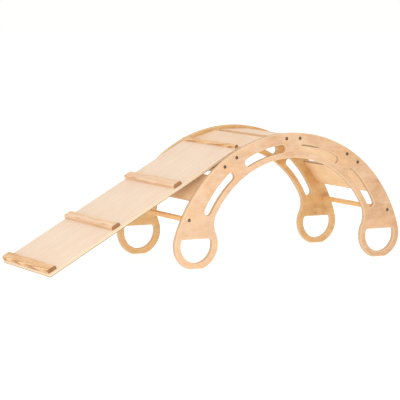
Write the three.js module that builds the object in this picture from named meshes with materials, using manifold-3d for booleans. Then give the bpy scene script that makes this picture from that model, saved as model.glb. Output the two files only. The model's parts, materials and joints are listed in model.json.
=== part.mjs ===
// A climbing arch that turns over to become a rocker, with a battened climbing ramp hooked on one side.
// Millimetres. X runs along the arch with the ramp towards -X, Y across it, and Z up from the floor.
import * as THREE from "three";
import { mergeVertices } from "three/addons/utils/BufferGeometryUtils.js";
import Module from "manifold-3d";

const wasm = await Module();
wasm.setup();

// Side panels
const ARCH_HEIGHT = 483;
const FOOT_SPACING = 814; // between the centres of the two foot rings of one panel
const FOOT_RADIUS = 90.5;
const FOOT_FLAT_DEPTH = 4; // how much of the ring is cut away where it stands
const CROWN_DEPTH = 93; // from the outer edge to the inner edge at the top
const LEG_INSET = 39; // from the middle of a foot ring in to the widest part of the inner arc
const WAIST_RADIUS = 78; // between the inner arc and a foot ring
const PANEL_THICKNESS = 18;
const PANEL_EDGE_EASE = 2;

// Hand holes in the foot rings
const FOOT_RIM = 24.5; // wood left round a hand hole
const HAND_HOLE_RISE = 21.5; // of its level top above the middle of the ring
const HAND_HOLE_CORNER_RADIUS = 12;

// Curved slots, following the inner arc
const SLOT_WIDTH = 30;
const SLOT_RAIL = 22; // wood left between a slot and the inner edge
const SLOT_RANGES = [
  [4.5, 30.5],
  [39, 65],
]; // degrees from the top, on each side

// Cross boards
const INNER_WIDTH = 404; // between the inner faces of the two panels
const BOARD_WIDTH = 116;
const BOARD_THICKNESS = 12;
const BOARD_RECESS = 15; // below the panels' outer edge at the middle of a board
const BOARD_GAP = 27.5; // between neighbouring boards
const BOARD_EDGE_EASE = 1.5;
const HOUSING_DEPTH = 6; // groove that holds the boards without screws

// Leg bars
const BAR_DEPTH = 22;
const BAR_HEIGHT = 18;
const BAR_INSET = 27; // from the panels' outer edge to the middle of a bar
const BAR_RAISE = 3; // above halfway between the lowest board and the hand holes, along the arc

// Frame screws
const SCREW_SPACING = 59;
const SCREW_HEAD_DIAMETER = 12;
const SCREW_HEAD_HEIGHT = 3;
const SCREW_SINK = 0.4;
const SCREW_SHANK_DIAMETER = 5;
const SCREW_SHANK_LENGTH = 50;
const SCREW_POINT_LENGTH = 5;
const SOCKET_ACROSS_FLATS = 4;
const SOCKET_DEPTH = 2;

// Ramp
const RAMP_LEAN = 4; // degrees that the ramp lies flatter than the board it hooks on
const RAMP_SIDE_CLEARANCE = 12; // between the ramp and each panel
const RAMP_THICKNESS = 12;
const RAMP_CORNER_RADIUS = 6;
const BATTEN_COUNT = 4;
const BATTEN_WIDTH = 36;
const BATTEN_HEIGHT = 14;
const BATTEN_CHAMFER = 4;
const BATTEN_INSET = 4; // from the ramp's lower end to the first batten
const BATTEN_SIDE_INSET = 9; // from the ramp's right edge, except for the top batten
const TOP_BATTEN_WIDTH = 14;
const TOP_BATTEN_HEIGHT = 10;
const TOP_BATTEN_CHAMFER = 2;
const TOP_BATTEN_INSET = 5; // from the ramp's upper end
const CLEAT_SIDE_INSET = 20; // from the ramp's long edges
const CLEAT_DEPTH = 28;
const CLEAT_SCREW_SHIFT = 2; // how far downhill of the cleat's middle its screws stand
const CLEAT_CLEARANCE = 11; // between the cleat and the board uphill of it
const HOOK_PLAY = 1.5; // between the cleat and the edge of the board it hooks on
const RAMP_SCREW_SINK = 0.8; // how far the ramp's screw heads lie below the wood around them

// Ramp screws
const RAMP_SCREW_SIDE_INSET = 50; // from the ramp's long edges to the outer screws
const RAMP_SCREW_DIAMETER = 4;
const RAMP_SCREW_HEAD_DIAMETER = 8;
const RAMP_SCREW_HEAD_HEIGHT = 2.4;
const RAMP_SCREW_BITE = 10; // into a batten
const TOP_SCREW_BITE = 7; // into the top batten

// Gap left between pieces that touch, and the largest distance from a true arc to its chord
const FIT = 0.3;
const ARC_TOLERANCE = 0.35;
const ROUND_SIDES = 12;
const WELD = 1e-3; // vertices closer than this are one vertex

// Sizes that follow from the ones above
const PANEL_MIDDLE_Y = (INNER_WIDTH + PANEL_THICKNESS) / 2;
const FOOT_X = FOOT_SPACING / 2;
const FOOT_Z = FOOT_RADIUS - FOOT_FLAT_DEPTH;
const INNER_ARC_RADIUS = FOOT_X - LEG_INSET;
const INNER_ARC_CENTRE_Z = ARCH_HEIGHT - CROWN_DEPTH - INNER_ARC_RADIUS;
const HAND_HOLE_RADIUS = FOOT_RADIUS - FOOT_RIM;
const HAND_HOLE_TOP_Z = FOOT_Z + HAND_HOLE_RISE;
// The outer arc touches the top and runs into both foot rings without a kink.
const ARC_REACH = ARCH_HEIGHT - FOOT_RADIUS;
const OUTER_CENTRE_Z =
  (ARC_REACH ** 2 - FOOT_X ** 2 - FOOT_Z ** 2) / (2 * (ARC_REACH - FOOT_Z));
const OUTER_RADIUS = ARCH_HEIGHT - OUTER_CENTRE_Z;
const WAIST = waistCentre();
const BOARD_MIDDLE_RADIUS = OUTER_RADIUS - BOARD_RECESS - BOARD_THICKNESS / 2;
const BOARD_PITCH = 2 * Math.atan((BOARD_WIDTH + BOARD_GAP) / 2 / BOARD_MIDDLE_RADIUS);
const SLOT_INNER_RADIUS = INNER_ARC_RADIUS + SLOT_RAIL;
// A leg bar lies between the lowest board's edge and the level of the hand holes' tops.
const BAR_RADIUS = OUTER_RADIUS - BAR_INSET;
const LOWEST_EDGE_ANGLE = 3 * BOARD_PITCH + Math.atan(BOARD_WIDTH / 2 / BOARD_MIDDLE_RADIUS);
const HAND_HOLE_ANGLE = Math.acos((HAND_HOLE_TOP_Z - OUTER_CENTRE_Z) / BAR_RADIUS);
const BAR_ANGLE = (LOWEST_EDGE_ANGLE + HAND_HOLE_ANGLE) / 2 - BAR_RAISE / BAR_RADIUS;
const BAR_X = BAR_RADIUS * Math.sin(BAR_ANGLE);
const BAR_Z = OUTER_CENTRE_Z + BAR_RADIUS * Math.cos(BAR_ANGLE);
const RAMP_WIDTH = INNER_WIDTH - 2 * RAMP_SIDE_CLEARANCE;
const CLEAT_LENGTH = RAMP_WIDTH - 2 * CLEAT_SIDE_INSET;
const CLEAT_WIDTH = BOARD_GAP - HOOK_PLAY - CLEAT_CLEARANCE;

const BEECH_PLY = { color: 0xf3cda4, roughness: 0.55, metalness: 0 };
const PALE_PLY = { color: 0xf8e0c8, roughness: 0.6, metalness: 0 };
const PINE = { color: 0xe9b886, roughness: 0.65, metalness: 0 };
const DARK_STEEL = { color: 0x4a4038, roughness: 0.4, metalness: 0.8 };
const BRIGHT_STEEL = { color: 0xc9c4b4, roughness: 0.35, metalness: 0.9 };

function radians(degrees) {
  return (degrees * Math.PI) / 180;
}

// The centre of the arc that joins the inner arc to the ring of the foot on +X.
function waistCentre() {
  const toInner = INNER_ARC_RADIUS - WAIST_RADIUS;
  const toFoot = FOOT_RADIUS + WAIST_RADIUS;
  const rise = FOOT_Z - INNER_ARC_CENTRE_Z;
  const apart = Math.hypot(FOOT_X, rise);
  const along = (toInner ** 2 - toFoot ** 2 + apart ** 2) / (2 * apart);
  const aside = Math.sqrt(toInner ** 2 - along ** 2);
  return {
    x: (FOOT_X * along - rise * aside) / apart,
    z: INNER_ARC_CENTRE_Z + (rise * along + FOOT_X * aside) / apart,
  };
}

// Points along an arc, from one angle to another in radians, both ends included.
function arcPoints(x, y, radius, from, to) {
  const step = 2 * Math.acos(1 - ARC_TOLERANCE / radius);
  const count = Math.max(2, Math.ceil(Math.abs(to - from) / step));
  return Array.from({ length: count + 1 }, (_, i) => {
    const angle = from + ((to - from) * i) / count;
    return new THREE.Vector2(
      x + radius * Math.cos(angle),
      y + radius * Math.sin(angle),
    );
  });
}

// A closed outline without the repeated points where its arcs meet.
function closedOutline(points) {
  const far = (a, b) => a.distanceTo(b) > 1e-3;
  return points.filter((p, i) => far(p, points[(i + 1) % points.length]));
}

function mirrored(points) {
  return points.map((p) => new THREE.Vector2(-p.x, p.y)).reverse();
}

// The right half of a panel runs from the top round the foot to the middle of the inner arc.
function panelOutline() {
  const quarter = Math.PI / 2;
  const outerEnd = Math.atan2(FOOT_Z - OUTER_CENTRE_Z, FOOT_X);
  const flat = Math.acos(FOOT_Z / FOOT_RADIUS);
  const footEnd = Math.atan2(WAIST.z - FOOT_Z, WAIST.x - FOOT_X) - 2 * Math.PI;
  const waistEnd = Math.atan2(WAIST.z - INNER_ARC_CENTRE_Z, WAIST.x);
  const half = [
    ...arcPoints(0, OUTER_CENTRE_Z, OUTER_RADIUS, quarter, outerEnd),
    ...arcPoints(FOOT_X, FOOT_Z, FOOT_RADIUS, outerEnd, flat - quarter),
    ...arcPoints(FOOT_X, FOOT_Z, FOOT_RADIUS, -quarter - flat, footEnd),
    ...arcPoints(WAIST.x, WAIST.z, WAIST_RADIUS, footEnd + Math.PI, waistEnd),
    ...arcPoints(0, INNER_ARC_CENTRE_Z, INNER_ARC_RADIUS, waistEnd, quarter),
  ];
  return closedOutline([...half, ...mirrored(half)]);
}

// A D lying on its back: a circle cut off by a level line, with rounded corners.
function handHoleOutline() {
  const corner = HAND_HOLE_CORNER_RADIUS;
  const cornerZ = HAND_HOLE_TOP_Z - corner;
  const reach = HAND_HOLE_RADIUS - corner;
  const cornerX = Math.sqrt(reach ** 2 - (cornerZ - FOOT_Z) ** 2);
  const tangent = Math.atan2(cornerZ - FOOT_Z, cornerX);
  const half = [
    ...arcPoints(cornerX, cornerZ, corner, Math.PI / 2, tangent),
    ...arcPoints(0, FOOT_Z, HAND_HOLE_RADIUS, tangent, -Math.PI / 2),
  ];
  return closedOutline([...half, ...mirrored(half)]);
}

function slotOutline([fromDegrees, toDegrees]) {
  const end = SLOT_WIDTH / 2;
  const middle = SLOT_INNER_RADIUS + end;
  const round = end / middle;
  const from = Math.PI / 2 - radians(fromDegrees) - round;
  const to = Math.PI / 2 - radians(toDegrees) + round;
  const centre = (angle) => [
    middle * Math.cos(angle),
    INNER_ARC_CENTRE_Z + middle * Math.sin(angle),
  ];
  const outer = SLOT_INNER_RADIUS + SLOT_WIDTH;
  return closedOutline([
    ...arcPoints(0, INNER_ARC_CENTRE_Z, outer, from, to),
    ...arcPoints(...centre(to), end, to, to - Math.PI),
    ...arcPoints(0, INNER_ARC_CENTRE_Z, SLOT_INNER_RADIUS, to, from),
    ...arcPoints(...centre(from), end, from + Math.PI, from),
  ]);
}

function shifted(points, dx) {
  return points.map((p) => new THREE.Vector2(p.x + dx, p.y));
}

function solid(geometry) {
  const bare = new THREE.BufferGeometry();
  bare.setAttribute("position", geometry.getAttribute("position"));
  if (geometry.index) bare.setIndex(geometry.index);
  const merged = mergeVertices(bare, WELD);
  return new wasm.Manifold(
    new wasm.Mesh({
      numProp: 3,
      vertProperties: new Float32Array(merged.attributes.position.array),
      triVerts: new Uint32Array(merged.index.array),
    }),
  );
}

function geometryOf(body) {
  const mesh = body.getMesh();
  const geometry = new THREE.BufferGeometry();
  geometry.setAttribute(
    "position",
    new THREE.BufferAttribute(new Float32Array(mesh.vertProperties), 3),
  );
  geometry.setIndex(new THREE.BufferAttribute(new Uint32Array(mesh.triVerts), 1));
  const flat = geometry.toNonIndexed();
  flat.computeVertexNormals();
  return flat;
}

function cutFrom(geometry, tools) {
  return geometryOf(tools.reduce((body, tool) => body.subtract(solid(tool)), solid(geometry)));
}

// A flat plate from an outline in X and Z, its thickness centred on Y = 0.
function plate(outline, holes, thickness, ease) {
  // ExtrudeGeometry turns holes the right way round only inside an anticlockwise outline.
  const clockwise = THREE.ShapeUtils.isClockWise(outline);
  const shape = new THREE.Shape(clockwise ? [...outline].reverse() : outline);
  shape.holes = holes.map((points) => new THREE.Path(points));
  const geometry = new THREE.ExtrudeGeometry(shape, {
    depth: thickness - 2 * ease,
    bevelEnabled: ease > 0,
    bevelThickness: ease,
    bevelSize: ease,
    bevelOffset: -ease,
    bevelSegments: 1,
  });
  geometry.translate(0, 0, -(thickness - 2 * ease) / 2);
  return geometry.rotateX(Math.PI / 2);
}

// A bar along Y whose section in X and Z is a rectangle with eased corners.
function easedBar(width, height, length, ease) {
  const x = width / 2;
  const z = height / 2;
  const outline = [
    [x - ease, -z],
    [x, -z + ease],
    [x, z - ease],
    [x - ease, z],
    [-x + ease, z],
    [-x, z - ease],
    [-x, -z + ease],
    [-x + ease, -z],
  ].map(([px, pz]) => new THREE.Vector2(px, pz));
  return plate(outline, [], length, 0);
}

// A round tool along Z, from z = 0 up, for boring a hole.
function drill(diameter, length) {
  const tool = new THREE.CylinderGeometry(diameter / 2, diameter / 2, length, ROUND_SIDES);
  return tool.rotateX(Math.PI / 2).translate(0, 0, length / 2);
}

// Points a tool or screw that runs along Z so that it runs along Y, inwards from one side of the arch.
function alongY(geometry, side, x, y, z) {
  return geometry.rotateX((side * Math.PI) / 2).translate(x, y, z);
}

// A panhead screw along Z with its head's top at z = 0 and its point at -Z, without the socket.
function screwBody(headDiameter, headHeight, shankDiameter, length, point) {
  const head = headDiameter / 2;
  const shank = shankDiameter / 2;
  const under = -headHeight;
  const tip = -headHeight - length;
  const profile = [
    [0, tip],
    [shank, tip + point],
    [shank, under],
    [head, under],
    [head, -headHeight / 3],
    [head - headHeight / 3, 0],
    [0, 0],
  ].map(([x, y]) => new THREE.Vector2(x, y));
  return new THREE.LatheGeometry(profile, ROUND_SIDES).rotateX(Math.PI / 2);
}

// A countersunk screw along Z, its flat head's top at z = 0 and its point at -Z.
function countersunkBody(headDiameter, headHeight, shankDiameter, length) {
  const head = headDiameter / 2;
  const shank = shankDiameter / 2;
  const profile = [
    [0, -length],
    [shank, -length + shankDiameter],
    [shank, -headHeight],
    [head, -headHeight / 4],
    [head, 0],
    [0, 0],
  ].map(([x, y]) => new THREE.Vector2(x, y));
  return new THREE.LatheGeometry(profile, ROUND_SIDES).rotateX(Math.PI / 2);
}

function socketTool(acrossFlats, depth) {
  const corner = acrossFlats / Math.sqrt(3);
  const tool = new THREE.CylinderGeometry(corner, corner, 2 * depth, 6);
  return tool.rotateX(Math.PI / 2);
}

function meshOf(name, geometry, finish) {
  const mesh = new THREE.Mesh(geometry, new THREE.MeshStandardMaterial(finish));
  mesh.name = name;
  return mesh;
}

// Where each cross board goes: its angle from the top, and whether it is screwed or housed in grooves.
const BOARDS = [
  { name: "top_board", steps: 0, screwed: true },
  { name: "upper_board_ramp_side", steps: -1, screwed: false },
  { name: "upper_board_far_side", steps: 1, screwed: false },
  { name: "middle_board_ramp_side", steps: -2, screwed: true },
  { name: "middle_board_far_side", steps: 2, screwed: true },
  { name: "lower_board_ramp_side", steps: -3, screwed: false },
  { name: "lower_board_far_side", steps: 3, screwed: false },
].map((board) => ({ ...board, angle: board.steps * BOARD_PITCH }));

const BARS = [
  { name: "leg_bar_ramp_side", x: -BAR_X },
  { name: "leg_bar_far_side", x: BAR_X },
];

const SIDES = [
  { name: "right", sign: -1 },
  { name: "left", sign: 1 },
]; // as seen when climbing the ramp

// A point given along and out from the middle of a board, in X and Z.
function boardPoint(angle, along, out) {
  const radius = BOARD_MIDDLE_RADIUS + out;
  return {
    x: radius * Math.sin(angle) + along * Math.cos(angle),
    z: OUTER_CENTRE_Z + radius * Math.cos(angle) - along * Math.sin(angle),
  };
}

// Where the frame screws enter a panel, with the name of the piece each one holds.
const SCREW_PLACES = [
  ...BOARDS.filter((board) => board.screwed).flatMap((board) =>
    [-1, 1].map((end, i) => ({
      name: `${board.name}_screw_${"ab"[i]}`,
      ...boardPoint(board.angle, (end * SCREW_SPACING) / 2, 0),
    })),
  ),
  ...BARS.map((bar) => ({ name: `${bar.name}_screw`, x: bar.x, z: BAR_Z })),
];

function panelGeometry(sign) {
  const slots = SLOT_RANGES.map(slotOutline);
  const hole = handHoleOutline();
  const holes = [
    ...slots,
    ...slots.map(mirrored),
    shifted(hole, FOOT_X),
    shifted(hole, -FOOT_X),
  ];
  const outerFace = (sign * PANEL_THICKNESS) / 2;
  const counterbore = SCREW_HEAD_HEIGHT + SCREW_SINK;
  const bores = SCREW_PLACES.flatMap(({ x, z }) => [
    alongY(
      drill(SCREW_HEAD_DIAMETER + 2 * FIT, 2 * counterbore),
      sign,
      x,
      outerFace + sign * (counterbore - FIT),
      z,
    ),
    alongY(
      drill(SCREW_SHANK_DIAMETER + 2 * FIT, 2 * PANEL_THICKNESS),
      sign,
      x,
      sign * PANEL_THICKNESS,
      z,
    ),
  ]);
  const housings = BOARDS.filter((board) => !board.screwed).map((board) => {
    const groove = easedBar(
      BOARD_WIDTH + 2 * FIT,
      BOARD_THICKNESS + 2 * FIT,
      2 * HOUSING_DEPTH,
      0,
    );
    const middle = boardPoint(board.angle, 0, 0);
    return groove
      .rotateY(board.angle)
      .translate(middle.x, (-sign * PANEL_THICKNESS) / 2, middle.z);
  });
  const blank = plate(panelOutline(), holes, PANEL_THICKNESS, PANEL_EDGE_EASE);
  return cutFrom(blank, [...bores, ...housings]);
}

// Pilot bores in both ends of a piece that lies along Y, at the given places along its width.
function endBores(places, length) {
  const depth = SCREW_HEAD_HEIGHT + SCREW_SINK + SCREW_SHANK_LENGTH - PANEL_THICKNESS + 2;
  return SIDES.flatMap(({ sign }) =>
    places.map((x) =>
      alongY(
        drill(SCREW_SHANK_DIAMETER + 2 * FIT, 2 * depth),
        sign,
        x,
        sign * (length / 2 + depth),
        0,
      ),
    ),
  );
}

function boardMesh(board) {
  const reach = board.screwed ? -FIT : HOUSING_DEPTH - FIT;
  const length = INNER_WIDTH + 2 * reach;
  const blank = easedBar(BOARD_WIDTH, BOARD_THICKNESS, length, BOARD_EDGE_EASE);
  const places = board.screwed ? [-SCREW_SPACING / 2, SCREW_SPACING / 2] : [];
  const mesh = meshOf(board.name, cutFrom(blank, endBores(places, length)), BEECH_PLY);
  const middle = boardPoint(board.angle, 0, 0);
  mesh.position.set(middle.x, 0, middle.z);
  mesh.rotation.y = board.angle;
  return mesh;
}

function barMesh(bar) {
  const length = INNER_WIDTH - 2 * FIT;
  const blank = easedBar(BAR_DEPTH, BAR_HEIGHT, length, BOARD_EDGE_EASE);
  const mesh = meshOf(bar.name, cutFrom(blank, endBores([0], length)), PINE);
  mesh.position.set(bar.x, 0, BAR_Z);
  return mesh;
}

function frameScrew(place, side) {
  const body = screwBody(
    SCREW_HEAD_DIAMETER,
    SCREW_HEAD_HEIGHT - FIT,
    SCREW_SHANK_DIAMETER,
    SCREW_SHANK_LENGTH,
    SCREW_POINT_LENGTH,
  );
  const geometry = cutFrom(body, [socketTool(SOCKET_ACROSS_FLATS, SOCKET_DEPTH)]);
  const mesh = meshOf(`${place.name}_${side.name}`, geometry, DARK_STEEL);
  mesh.rotation.x = (-side.sign * Math.PI) / 2;
  mesh.position.set(
    place.x,
    side.sign * (INNER_WIDTH / 2 + PANEL_THICKNESS - SCREW_SINK),
    place.z,
  );
  return mesh;
}

function archFrame() {
  const frame = new THREE.Group();
  for (const side of SIDES) {
    const panel = meshOf(`${side.name}_side_panel`, panelGeometry(side.sign), BEECH_PLY);
    panel.position.y = side.sign * PANEL_MIDDLE_Y;
    frame.add(panel);
    frame.add(...SCREW_PLACES.map((place) => frameScrew(place, side)));
  }
  frame.add(...BOARDS.map(boardMesh), ...BARS.map(barMesh));
  return frame;
}

// The ramp hooks over the uphill edge of this board and reaches down to the floor.
const HOOKED_BOARD = BOARDS.find((board) => board.name === "middle_board_ramp_side");
const HOOKED_EDGE = boardPoint(HOOKED_BOARD.angle, BOARD_WIDTH / 2, BOARD_THICKNESS / 2);
const RAMP_SLOPE = -HOOKED_BOARD.angle - radians(RAMP_LEAN);
const RAMP_TO_EDGE = (HOOKED_EDGE.z + FIT * Math.cos(RAMP_SLOPE)) / Math.sin(RAMP_SLOPE);

// The ramp is built flat: X runs uphill from its lower end, and Z up from its underside.
const CLEAT_X = RAMP_TO_EDGE + HOOK_PLAY + CLEAT_WIDTH / 2;
const RAMP_LENGTH = CLEAT_X + CLEAT_WIDTH / 2;
const TOP_BATTEN_EDGE = RAMP_LENGTH - TOP_BATTEN_INSET - TOP_BATTEN_WIDTH;
const BATTEN_PITCH = (TOP_BATTEN_EDGE - BATTEN_INSET) / (BATTEN_COUNT - 1);
const RAMP_SCREW_PITCH = RAMP_WIDTH / 2 - RAMP_SCREW_SIDE_INSET;
const SCREW_ROW_Y = [-RAMP_SCREW_PITCH, 0, RAMP_SCREW_PITCH];

// From the lowest up. Their downhill edges are evenly spaced and their left ends are flush with the ramp.
const BATTENS = Array.from({ length: BATTEN_COUNT }, (_, index) => {
  const top = index === BATTEN_COUNT - 1;
  const width = top ? TOP_BATTEN_WIDTH : BATTEN_WIDTH;
  const sideInset = top ? 0 : BATTEN_SIDE_INSET;
  return {
    name: `batten_${index + 1}`,
    x: BATTEN_INSET + index * BATTEN_PITCH + width / 2,
    y: sideInset / 2,
    width,
    length: RAMP_WIDTH - sideInset,
    height: top ? TOP_BATTEN_HEIGHT : BATTEN_HEIGHT,
    chamfer: top ? TOP_BATTEN_CHAMFER : BATTEN_CHAMFER,
  };
});

// The top batten's screws come through the cleat, so they start at its underside.
const RAMP_SCREWS = BATTENS.map((batten, index) => {
  const top = index === BATTEN_COUNT - 1;
  const start = top ? -CLEAT_DEPTH - FIT : 0;
  const end = RAMP_THICKNESS + FIT + (top ? TOP_SCREW_BITE : RAMP_SCREW_BITE);
  return {
    name: top ? "cleat" : batten.name,
    x: top ? CLEAT_X - CLEAT_SCREW_SHIFT : batten.x,
    start,
    length: end - start - RAMP_SCREW_SINK,
  };
});

// The bore and the countersink that a ramp screw needs, from its start upwards.
function rampScrewTools(row, base) {
  const headDepth = RAMP_SCREW_HEAD_HEIGHT + RAMP_SCREW_SINK;
  return SCREW_ROW_Y.flatMap((y) => {
    const bore = drill(RAMP_SCREW_DIAMETER + 2 * FIT, row.length + RAMP_SCREW_SINK + 1);
    const recess = drill(RAMP_SCREW_HEAD_DIAMETER + 2 * FIT, 2 * headDepth);
    return [
      bore.translate(row.x - base.x, y - base.y, row.start - base.z),
      recess.translate(row.x - base.x, y - base.y, row.start - headDepth - base.z),
    ];
  });
}

function rampBoardMesh() {
  const r = RAMP_CORNER_RADIUS;
  const x = RAMP_LENGTH;
  const y = RAMP_WIDTH / 2;
  const outline = closedOutline([
    ...arcPoints(x - r, y - r, r, 0, Math.PI / 2),
    ...arcPoints(r, y - r, r, Math.PI / 2, Math.PI),
    ...arcPoints(r, r - y, r, Math.PI, 1.5 * Math.PI),
    ...arcPoints(x - r, r - y, r, 1.5 * Math.PI, 2 * Math.PI),
  ]);
  const blank = new THREE.ExtrudeGeometry(new THREE.Shape(outline), {
    depth: RAMP_THICKNESS,
    bevelEnabled: false,
  });
  const tools = RAMP_SCREWS.flatMap((row) => rampScrewTools(row, { x: 0, y: 0, z: 0 }));
  return meshOf("ramp_board", cutFrom(blank, tools), PALE_PLY);
}

// A strip with its two upper long edges chamfered.
function battenMesh(batten, index) {
  const w = batten.width / 2;
  const h = batten.height;
  const c = batten.chamfer;
  const section = [
    [-w, 0],
    [w, 0],
    [w, h - c],
    [w - c, h],
    [c - w, h],
    [-w, h - c],
  ].map(([px, pz]) => new THREE.Vector2(px, pz));
  const base = { x: batten.x, y: batten.y, z: RAMP_THICKNESS + FIT };
  const tools = rampScrewTools(RAMP_SCREWS[index], base);
  const mesh = meshOf(batten.name, cutFrom(plate(section, [], batten.length, 0), tools), PINE);
  mesh.position.set(base.x, base.y, base.z);
  return mesh;
}

function cleatMesh() {
  const base = { x: CLEAT_X, y: 0, z: -FIT - CLEAT_DEPTH / 2 };
  const blank = easedBar(CLEAT_WIDTH, CLEAT_DEPTH, CLEAT_LENGTH, BOARD_EDGE_EASE);
  const tools = rampScrewTools(RAMP_SCREWS[BATTEN_COUNT - 1], base);
  const mesh = meshOf("hook_cleat", cutFrom(blank, tools), PINE);
  mesh.position.set(base.x, base.y, base.z);
  return mesh;
}

function rampScrewMeshes(row) {
  return SCREW_ROW_Y.map((y, i) => {
    const body = countersunkBody(
      RAMP_SCREW_HEAD_DIAMETER,
      RAMP_SCREW_HEAD_HEIGHT,
      RAMP_SCREW_DIAMETER,
      row.length,
    );
    const mesh = meshOf(`${row.name}_screw_${"abc"[i]}`, body, BRIGHT_STEEL);
    mesh.rotation.x = Math.PI;
    mesh.position.set(row.x, y, row.start + RAMP_SCREW_SINK);
    return mesh;
  });
}

// The ramp leans on the edge of the board it hooks on, with its lower end on the floor.
function ramp() {
  const group = new THREE.Group();
  group.add(rampBoardMesh(), cleatMesh(), ...BATTENS.map(battenMesh));
  group.add(...RAMP_SCREWS.flatMap(rampScrewMeshes));
  const run = RAMP_TO_EDGE * Math.cos(RAMP_SLOPE) + FIT * Math.sin(RAMP_SLOPE);
  group.position.x = HOOKED_EDGE.x - run;
  group.rotation.y = -RAMP_SLOPE;
  return group;
}

const part = new THREE.Group();
part.add(archFrame(), ramp());

// The origin is at the middle of everything the object covers, on the floor.
const extent = new THREE.Box3().setFromObject(part, true);
part.position.x = -(extent.min.x + extent.max.x) / 2;

export default part;
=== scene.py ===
import json
import math

import bmesh
import bpy
import numpy as np
from mathutils import Matrix, Vector
from mathutils.geometry import delaunay_2d_cdt


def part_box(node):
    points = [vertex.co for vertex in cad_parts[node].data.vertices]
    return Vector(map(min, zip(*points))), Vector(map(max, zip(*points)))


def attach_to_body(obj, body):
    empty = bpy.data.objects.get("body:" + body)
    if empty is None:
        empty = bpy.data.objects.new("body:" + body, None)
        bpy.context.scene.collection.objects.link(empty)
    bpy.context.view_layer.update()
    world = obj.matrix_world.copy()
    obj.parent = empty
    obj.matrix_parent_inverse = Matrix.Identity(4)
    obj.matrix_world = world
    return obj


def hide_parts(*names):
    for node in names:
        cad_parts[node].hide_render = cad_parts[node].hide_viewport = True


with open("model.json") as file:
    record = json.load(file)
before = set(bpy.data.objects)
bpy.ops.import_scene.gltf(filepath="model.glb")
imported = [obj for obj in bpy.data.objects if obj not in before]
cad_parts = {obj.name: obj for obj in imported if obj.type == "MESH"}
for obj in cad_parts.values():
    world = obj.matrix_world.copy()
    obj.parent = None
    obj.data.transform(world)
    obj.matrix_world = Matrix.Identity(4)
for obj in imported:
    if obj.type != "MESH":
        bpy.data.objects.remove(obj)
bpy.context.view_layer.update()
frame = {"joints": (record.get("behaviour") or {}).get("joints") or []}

# Lengths are in metres and angles in degrees, unless a note says otherwise.
fit = 0.0003       # gap between pieces that touch
flush = 1e-7       # levels closer than this are the same level
quarter = math.pi / 2

# The camera stands low in front of the arch, to its left; the lens is in millimetres, ahead is
# how far the aim lies beside the arch's middle, and height is the aim's.
camera = dict(azimuth=-30.99, elevation=6.48, roll=1.14, lens=167.4, distance=6.6785,
              ahead=-0.3971, height=0.2501)


def placeCamera(spec, archX, nearY):
    # Looks at a point beside the arch on its near face, from a place on a sphere round that point.
    a, e, r = (math.radians(spec[k]) for k in ("azimuth", "elevation", "roll"))
    back = Vector((math.sin(a) * math.cos(e), -math.cos(a) * math.cos(e), math.sin(e)))
    level = Vector((math.cos(a), math.sin(a), 0))
    upright = back.cross(level)
    right = level * math.cos(r) + upright * math.sin(r)
    up = upright * math.cos(r) - level * math.sin(r)
    aim = Vector((archX + spec["ahead"], nearY, spec["height"]))
    data = bpy.data.cameras.new("camera")
    data.lens = spec["lens"]
    data.sensor_width = 36
    data.clip_end = 100
    view = bpy.data.objects.new("camera", data)
    turn = Matrix((right, up, back)).transposed().to_4x4()
    view.matrix_world = Matrix.Translation(aim + back * spec["distance"]) @ turn
    bpy.context.scene.collection.objects.link(view)
    bpy.context.scene.camera = view


nearLow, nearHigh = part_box("right_side_panel")
archX = (nearLow.x + nearHigh.x) / 2
placeCamera(camera, archX, nearLow.y)
print("camera placed")


class Wire:
    # A socket that can stand in arithmetic: each operator adds the Math node it means.
    def __init__(self, graph, socket):
        self.graph = graph
        self.socket = socket

    def math(self, operation, *others):
        values = dict(enumerate((self, *others)))
        return self.graph.add("ShaderNodeMath", {"operation": operation}, values)

    def __add__(self, other):
        return self.math("ADD", other)

    def __mul__(self, other):
        return self.math("MULTIPLY", other)

    def __sub__(self, other):
        return self.math("SUBTRACT", other)

    def __rsub__(self, other):
        return self.graph.number("SUBTRACT", other, self)

    def __truediv__(self, other):
        return self.math("DIVIDE", other)

    def __pow__(self, other):
        return self.math("POWER", other)

    __radd__ = __add__
    __rmul__ = __mul__

    def sine(self):
        return self.math("SINE")

    def fraction(self):
        return self.math("FRACT")

    def absolute(self):
        return self.math("ABSOLUTE")

    def above(self, edge):
        return self.math("GREATER_THAN", edge)

    def between(self, low, high):
        # 0 below low, 1 above high, and an even slope between them
        values = {"Value": self, "From Min": low, "From Max": high}
        return self.graph.add("ShaderNodeMapRange", {"clamp": True}, values)


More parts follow.
